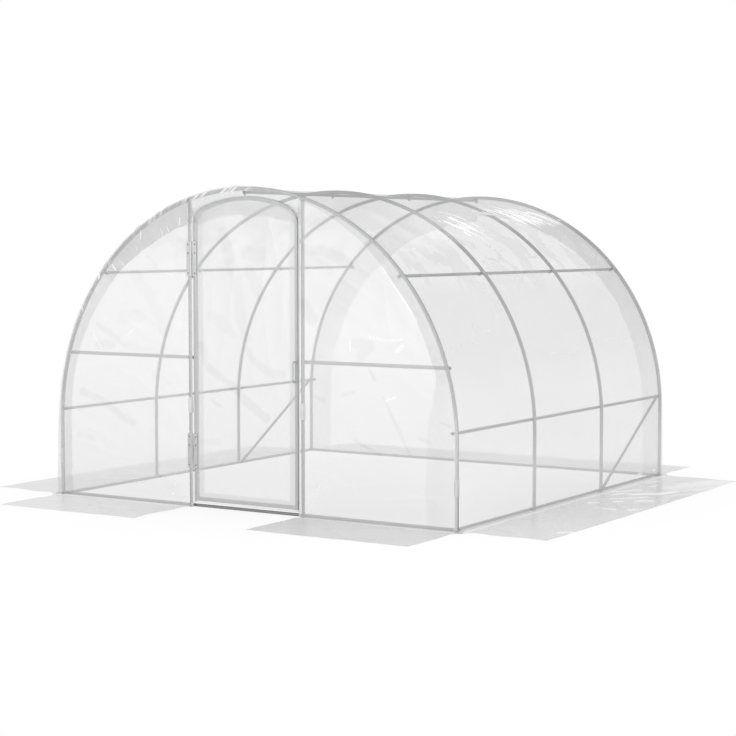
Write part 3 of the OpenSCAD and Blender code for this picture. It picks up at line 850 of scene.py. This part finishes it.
# Name, place along the tunnel, ends along the outline, side it faces, seed, columns and hoop of each fold
FOLDS = (
    ("front_left", FOLD_FRONT_Y, FOLD_END, post_s, -1, 200, 420, "hoop_front"),
    ("front_right", FOLD_FRONT_Y, OUTLINE_S - post_s, OUTLINE_S - FOLD_END, -1, 230, 420, "hoop_front"),
    ("rear", FOLD_REAR_Y, FOLD_END, OUTLINE_S - FOLD_END, 1, 260, 620, "hoop_rear"),
)
for name, y, s0, s1, facing, seed, columns, hoop in FOLDS:
    band, flat, area = make_fold(name, y, s0, s1, facing, seed, columns)
    place_film(band, "cover_fold_" + name, "tunnel")
band, flat, area = make_head_fold()
place_film(band, "cover_fold_front_head", "tunnel")

# Clear and dark streaks of the skirts, as strokes with points in x and y: the clear ones are painted glints,
# the dark ones on the right painted shade and the one on the front left a seam
RIGHT_GLINTS = [
    (0.8, 0.022, ((1.57, 0.51), (1.69, 0.67))), (0.8, 0.020, ((1.62, 0.40), (1.68, 0.48))),
    (0.8, 0.026, ((1.73, 0.44), (1.83, 0.59))), (0.9, 0.020, ((1.77, 0.08), (1.80, 0.12))),
    (0.9, 0.022, ((1.65, -0.02), (1.68, -0.01))), (0.8, 0.024, ((1.88, 0.19), (1.95, 0.26))),
    (0.8, 0.022, ((1.99, -0.18), (2.02, -0.13))), (0.7, 0.020, ((1.79, -0.23), (1.91, -0.22))),
    (0.7, 0.024, ((1.70, 0.22), (1.85, 0.40))), (0.7, 0.022, ((1.68, 0.88), (1.69, 0.94))),
    (0.8, 0.030, ((1.86, 0.61), (1.91, 0.72))), (0.7, 0.020, ((2.00, -1.18), (2.06, -1.12))),
    (0.6, 0.020, ((1.57, 1.05), (1.61, 1.17))), (0.4, 0.150, ((1.90, 0.95), (2.02, 1.30))),
]
RIGHT_DARK = [
    (0.7, 0.026, ((1.71, 1.21), (1.79, 1.29))), (1.0, 0.028, ((1.91, 0.84), (1.96, 1.00), (2.04, 1.16))),
    (0.8, 0.026, ((1.91, 0.59), (1.94, 0.70), (2.00, 0.82))), (0.7, 0.022, ((2.05, 0.29), (2.01, 0.55))),
    (0.6, 0.022, ((2.05, 0.46), (2.06, 0.60))), (0.5, 0.024, ((1.66, 0.33), (1.86, 0.48))),
    (0.5, 0.022, ((1.88, -0.02), (2.06, 0.15))), (0.6, 0.018, ((1.60, 1.21), (2.04, 0.16))),
]
SEAM_DARK = [(0.6, 0.010, ((-1.53, -1.50), (-1.39, -1.47), (-1.20, -1.56), (-0.98, -1.69)))]
STREAKS = {"right": (RIGHT_GLINTS, RIGHT_DARK), "front_left": ((), SEAM_DARK)}
CORNER_FLAP = 0.042
# Seed, haze and corner tongues of each skirt
SKIRTS = {
    "left": (320, 0.62, (CORNER_FLAP, 0)),
    "right": (300, 0.70, (CORNER_FLAP, 0)),
    "rear": (340, 0.66, (CORNER_FLAP, CORNER_FLAP)),
    "front_left": (360, 0.60, (CORNER_FLAP, 0)),
    "front_right": (380, 0.78, (0, CORNER_FLAP)),
}
for word, (seed, haze, flaps) in SKIRTS.items():
    low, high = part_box("skirt_" + word)
    wide, deep = high[0] - low[0], high[1] - low[1]
    corner, along, out = {
        "left": ((high[0], low[1]), (0, 1), (-1, 0)),
        "right": ((low[0], low[1]), (0, 1), (1, 0)),
        "rear": ((low[0], low[1]), (1, 0), (0, 1)),
    }.get(word, ((low[0], high[1]), (1, 0), (0, -1)))
    length, width = (wide, deep) if along == (1, 0) else (deep, wide)
    sheet = make_skirt("ground_sheet_" + word, corner, along, out, length, width, seed, haze, flaps,
                       *STREAKS.get(word, ()))
    place_film(sheet, "skirt_" + word, "tunnel")

place_film(make_door_film(), "door_film", "door")


# Bolts, screws and clips

class Recipe(Net):
    """A Geometry Nodes tree with named sizes, grown on the points of a mesh."""

    def __init__(self, name, sizes):
        super().__init__(bpy.data.node_groups.new(name, "GeometryNodeTree"))
        face = self.tree.interface
        face.new_socket("Geometry", in_out="OUTPUT", socket_type="NodeSocketGeometry")
        face.new_socket("Geometry", in_out="INPUT", socket_type="NodeSocketGeometry")
        self.sizes = sizes
        self.sockets = {}
        for word in sizes:
            socket = face.new_socket(word, in_out="INPUT", socket_type="NodeSocketFloat")
            self.sockets[word] = socket.identifier
        self.enter = self.tree.nodes.new("NodeGroupInput")
        self.leave = self.tree.nodes.new("NodeGroupOutput")

    def size(self, word):
        return Value(self, self.enter.outputs[word])

    def lifted(self, shape, height):
        up = self.node("ShaderNodeCombineXYZ", None, {"Z": height})
        return self.node("GeometryNodeTransform", None, {"Geometry": shape, "Translation": up})

    def disc(self, sides, radius, depth, foot):
        made = self.node("GeometryNodeMeshCylinder", None,
                         {"Vertices": sides, "Radius": radius, "Depth": depth})
        return self.lifted(made, foot + depth * 0.5)

    def dome(self, sides, low, high, depth, foot):
        made = self.node("GeometryNodeMeshCone", None, {
            "Vertices": sides, "Radius Top": high, "Radius Bottom": low, "Depth": depth})
        return self.lifted(made, foot)

    def half_pipe(self, radius, depth, wall):
        """Upright pipe of a given wall, open at the back, round its own middle."""
        pipe = self.node("GeometryNodeMeshCylinder", {"fill_type": "NONE"},
                         {"Vertices": 28, "Radius": radius, "Depth": depth})
        place = self.node("GeometryNodeInputPosition")
        across = self.node("ShaderNodeSeparateXYZ", None, {"Vector": place})
        open_pipe = self.node("GeometryNodeDeleteGeometry", {"domain": "FACE"},
                              {"Geometry": pipe, "Selection": across < radius * -0.5})
        outer = self.node("GeometryNodeExtrudeMesh", None,
                          {"Mesh": open_pipe, "Offset Scale": wall, "Individual": False})
        inner = self.node("GeometryNodeFlipFaces", None, {"Mesh": open_pipe})
        return self.node("GeometryNodeMergeByDistance", None,
                         {"Geometry": self.join([outer, inner]), "Distance": 0.00001})

    def join(self, shapes):
        return self.node("GeometryNodeJoinGeometry", None, {"Geometry": shapes})

    def finish(self, shape, material, axis, pivot):
        """Places the shape on every point, with its axis along the point's aim."""
        aim = self.node("GeometryNodeInputNamedAttribute", {"data_type": "FLOAT_VECTOR"}, {"Name": "aim"})
        turn = self.node("FunctionNodeAlignRotationToVector",
                         {"axis": axis, "pivot_axis": pivot}, {"Vector": aim})
        points = Value(self, self.enter.outputs["Geometry"])
        placed = self.node("GeometryNodeInstanceOnPoints", None,
                           {"Points": points, "Instance": shape, "Rotation": turn})
        real = self.node("GeometryNodeRealizeInstances", None, {"Geometry": placed})
        painted = self.node("GeometryNodeSetMaterial", None, {"Geometry": real, "Material": material})
        self.feed(self.leave.inputs["Geometry"], painted)
        return self

    def grow(self, name, places, body):
        """Mesh of the recipe on places, a list of (point, aim), riding on a body."""
        mesh = bpy.data.meshes.new(name)
        mesh.from_pydata([point for point, aim in places], [], [])
        aims = np.array([aim for point, aim in places], np.float32)
        mesh.attributes.new("aim", "FLOAT_VECTOR", "POINT").data.foreach_set("vector", aims.reshape(-1))
        piece = bpy.data.objects.new(name, mesh)
        scene.collection.objects.link(piece)
        grower = piece.modifiers.new("recipe", "NODES")
        grower.node_group = self.tree
        for word, value in self.sizes.items():
            grower[self.sockets[word]] = value
        graph = bpy.context.evaluated_depsgraph_get()
        made = bpy.data.meshes.new_from_object(piece.evaluated_get(graph), depsgraph=graph)
        piece.modifiers.remove(grower)
        piece.data = made
        bpy.data.meshes.remove(mesh)
        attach(piece, body)
        return piece


def nut_recipe():
    """Hexagon nut on a washer, with the bolt's end standing out of it."""
    r = Recipe("nut", {"washer radius": 0.0085, "washer": 0.0014, "nut radius": 0.0064, "nut": 0.005,
                       "bolt radius": 0.003, "bolt end": 0.004})
    washer, nut, end = r.size("washer"), r.size("nut"), r.size("bolt end")
    shapes = [r.disc(20, r.size("washer radius"), washer, 0.0),
              r.disc(6, r.size("nut radius"), nut, washer),
              r.disc(12, r.size("bolt radius"), end, washer + nut)]
    return r.finish(r.join(shapes), dark_zinc, "Z", "AUTO")


def screw_recipe():
    """Round-headed screw: a rim and two steps of a dome."""
    r = Recipe("screw", {"radius": 0.0045, "rim": 0.0008, "dome": 0.0011})
    radius, rim, dome = r.size("radius"), r.size("rim"), r.size("dome")
    shapes = [r.disc(18, radius, rim, 0.0),
              r.dome(18, radius * 0.96, radius * 0.72, dome, rim),
              r.dome(18, radius * 0.72, radius * 0.30, dome * 0.6, rim + dome)]
    return r.finish(r.join(shapes), dark_zinc, "Z", "AUTO")


def clip_recipe():
    """Spring clip that holds the film on a tube: a split pipe with ribs over its lower half."""
    r = Recipe("clip", {"radius": 0.0140, "length": 0.10, "wall": 0.0012, "rib": 0.005, "rib height": 0.0011,
                        "rib pitch": 0.0155})
    radius, length, wall = r.size("radius"), r.size("length"), r.size("wall")
    shell = r.half_pipe(radius, length, wall)
    rib = r.half_pipe(radius + wall, r.size("rib"), r.size("rib height"))
    step = r.node("ShaderNodeCombineXYZ", None, {"Z": r.size("rib pitch")})
    first = r.node("ShaderNodeCombineXYZ", None, {"Z": length * -0.44})
    line = r.node("GeometryNodeMeshLine", None, {"Count": 4, "Start Location": first, "Offset": step})
    ribs = r.node("GeometryNodeInstanceOnPoints", None, {"Points": line, "Instance": rib})
    return r.finish(r.join([shell, ribs]), clip_zinc, "X", "Z")


def frame_nuts():
    """Nuts on the inside of the crossings of hoop, purlin, rail and post."""
    places = []
    for name in ("ridge_purlin", "upper_purlin_left", "upper_purlin_right",
                 "lower_purlin_left", "lower_purlin_right"):
        centre = np.array([middle(name, 0), 0, middle(name, 2)])
        inward = np.array([0, 0, LEG]) - centre
        inward = inward / np.linalg.norm(inward)
        for y in HOOPS_Y:
            places.append((tuple(centre + inward * RAIL_R + np.array([0, y, 0])), tuple(inward)))
    for side, word in ((-1, "left"), (1, "right")):
        rail_x = middle("base_rail_" + word, 0) - side * RAIL_R
        for y in HOOPS_Y[1:-1]:
            places.append(((rail_x, y, RAIL_Z), (-side, 0, 0)))
        leg_x = side * (HOOP_OUT - TUBE_R)
        for end, back in (("front", 1), ("rear", -1)):
            rail_y = middle("base_rail_" + end, 1) + back * RAIL_R
            places.append(((leg_x, rail_y, RAIL_Z), (0, back, 0)))
        mid_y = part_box("mid_rail_" + word)[1][1]
        mid_hoop_x = math.sqrt((HOOP_OUT - TUBE_R) ** 2 - (MID_RAIL_Z - LEG) ** 2)
        for at in (POST_X, mid_hoop_x):
            places.append(((side * at, mid_y, MID_RAIL_Z), (0, 1, 0)))
        places.append(((side * POST_X, middle("base_rail_front", 1) + RAIL_R, RAIL_Z), (0, 1, 0)))
    return places


LEAF_T = 0.003
SCREW_INSET = 0.012
HINGE_SCREWS = (0.088, 0.034, -0.090)


def hinge_screws(leaf):
    """Three screws down each hinge leaf of one kind, near its outer edge."""
    places = []
    for level in ("lower", "upper"):
        low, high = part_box("hinge_" + leaf + "_leaf_" + level)
        x = low[0] + SCREW_INSET if leaf == "post" else high[0] - SCREW_INSET
        for up in HINGE_SCREWS:
            places.append(((x, high[1] - LEAF_T, (low[2] + high[2]) / 2 + up), (0, -1, 0)))
    return places


CLIP_Z = {"post": 0.645, "leg": 0.26}


def clip_places():
    """Clips on the door posts and the front legs."""
    places = []
    for side in (-1, 1):
        places.append(((side * POST_X, FRONT_Y, CLIP_Z["post"]), (0, -1, 0)))
        places.append(((side * (HOOP_OUT - TUBE_R), FRONT_Y, CLIP_Z["leg"]), (side * 0.7, -0.7, 0)))
    return places


nuts = nut_recipe()
screws = screw_recipe()
nuts.grow("frame_nuts", frame_nuts(), "tunnel")
screws.grow("post_hinge_screws", hinge_screws("post"), "tunnel")
screws.grow("door_hinge_screws", hinge_screws("door"), "door")
clip_recipe().grow("film_clips", clip_places(), "tunnel")


# Stage

BACKDROP_RAYS = ("Is Camera Ray", "Is Glossy Ray", "Is Transmission Ray")
WHITE = (1, 1, 1, 1)
FLOOR_HALF = 60.0
FLOOR_LEVEL = 0.86
SHADOW_SHARE = 0.2
SHADOW_FULL, SHADOW_END = 1.3, 2.6
WORLD_LIGHT = 0.6


class Stage(Net):
    """Shader of the floor or the world: one look for light and another for the eye and mirrors."""

    def __init__(self, tree):
        super().__init__(tree)
        tree.nodes.clear()

    def seen(self):
        path = self.tree.nodes.new("ShaderNodeLightPath")
        camera_ray, glossy, through = (Value(self, path.outputs[word]) for word in BACKDROP_RAYS)
        return camera_ray | glossy | through

    def finish(self, kind, share, light, eye):
        mix = self.node("ShaderNodeMixShader", None, {0: share, 1: light, 2: eye})
        out = self.tree.nodes.new(kind)
        self.feed(out.inputs["Surface"], mix)


def make_floor():
    """White floor that keeps a soft shadow close to the tunnel."""
    mesh = bpy.data.meshes.new("floor")
    corners = [(-FLOOR_HALF, -FLOOR_HALF, 0), (FLOOR_HALF, -FLOOR_HALF, 0),
               (FLOOR_HALF, FLOOR_HALF, 0), (-FLOOR_HALF, FLOOR_HALF, 0)]
    mesh.from_pydata(corners, [], [(0, 1, 2, 3)])
    floor = bpy.data.objects.new("floor", mesh)
    scene.collection.objects.link(floor)
    material = bpy.data.materials.new("pale floor")
    material.use_nodes = True
    stage = Stage(material.node_tree)
    place = stage.node("ShaderNodeTexCoord", out="Object")
    away = stage.node("ShaderNodeVectorMath", {"operation": "LENGTH"}, {0: place}, out="Value")
    near = stage.between(away, SHADOW_END, SHADOW_FULL)
    plain = stage.node("ShaderNodeBsdfDiffuse", None, {"Color": grey(FLOOR_LEVEL)})
    glow = stage.node("ShaderNodeEmission", None, {"Color": WHITE, "Strength": 1.0})
    stage.finish("ShaderNodeOutputMaterial", stage.seen() * (1 - near * SHADOW_SHARE), plain, glow)
    mesh.materials.append(material)


def make_world():
    """Even light all round, in front of white."""
    world = bpy.data.worlds.new("studio")
    scene.world = world
    world.use_nodes = True
    stage = Stage(world.node_tree)
    light = stage.node("ShaderNodeBackground", None, {"Color": WHITE, "Strength": WORLD_LIGHT})
    white = stage.node("ShaderNodeBackground", None, {"Color": WHITE, "Strength": 1.0})
    stage.finish("ShaderNodeOutputWorld", stage.seen(), light, white)


def softbox(name, place, aim, wide, high, power):
    """Large soft lamp at a place, turned towards aim."""
    lamp = bpy.data.lights.new(name, "AREA")
    lamp.shape = "RECTANGLE"
    lamp.size = wide
    lamp.size_y = high
    lamp.energy = power
    made = bpy.data.objects.new(name, lamp)
    made.location = place
    made.rotation_euler = (Vector(aim) - Vector(place)).to_track_quat("-Z", "Y").to_euler()
    scene.collection.objects.link(made)


make_floor()
make_world()
softbox("front", (-1.0, -9.5, 3.0), (0, 0, 1.0), 8.0, 4.0, 400)
softbox("side", (9.0, -1.0, 3.0), (0, 0, 1.0), 6.0, 3.5, 300)
softbox("back", (-1.0, 7.5, 8.0), (0, 0, 1.2), 4.0, 1.5, 140)

# Camera

PIXELS = 736
SENSOR = 36.0
FOCUS_PIXELS = 1806.5
CAMERA_AT = Vector((6.516, -10.454, 1.6776))
CAMERA_AZIMUTH = math.radians(32.07)
CAMERA_ELEVATION = math.radians(4.06)
camera_data = bpy.data.cameras.new("photo view")
camera_data.sensor_width = SENSOR
camera_data.lens = FOCUS_PIXELS * SENSOR / PIXELS
camera_data.clip_end = 500
camera = bpy.data.objects.new("photo view", camera_data)
camera.location = CAMERA_AT
camera.rotation_euler = (math.pi / 2 - CAMERA_ELEVATION, 0, CAMERA_AZIMUTH)
scene.collection.objects.link(camera)
scene.camera = camera
scene.view_settings.view_transform = "Standard"
scene.cycles.transparent_max_bounces = 24
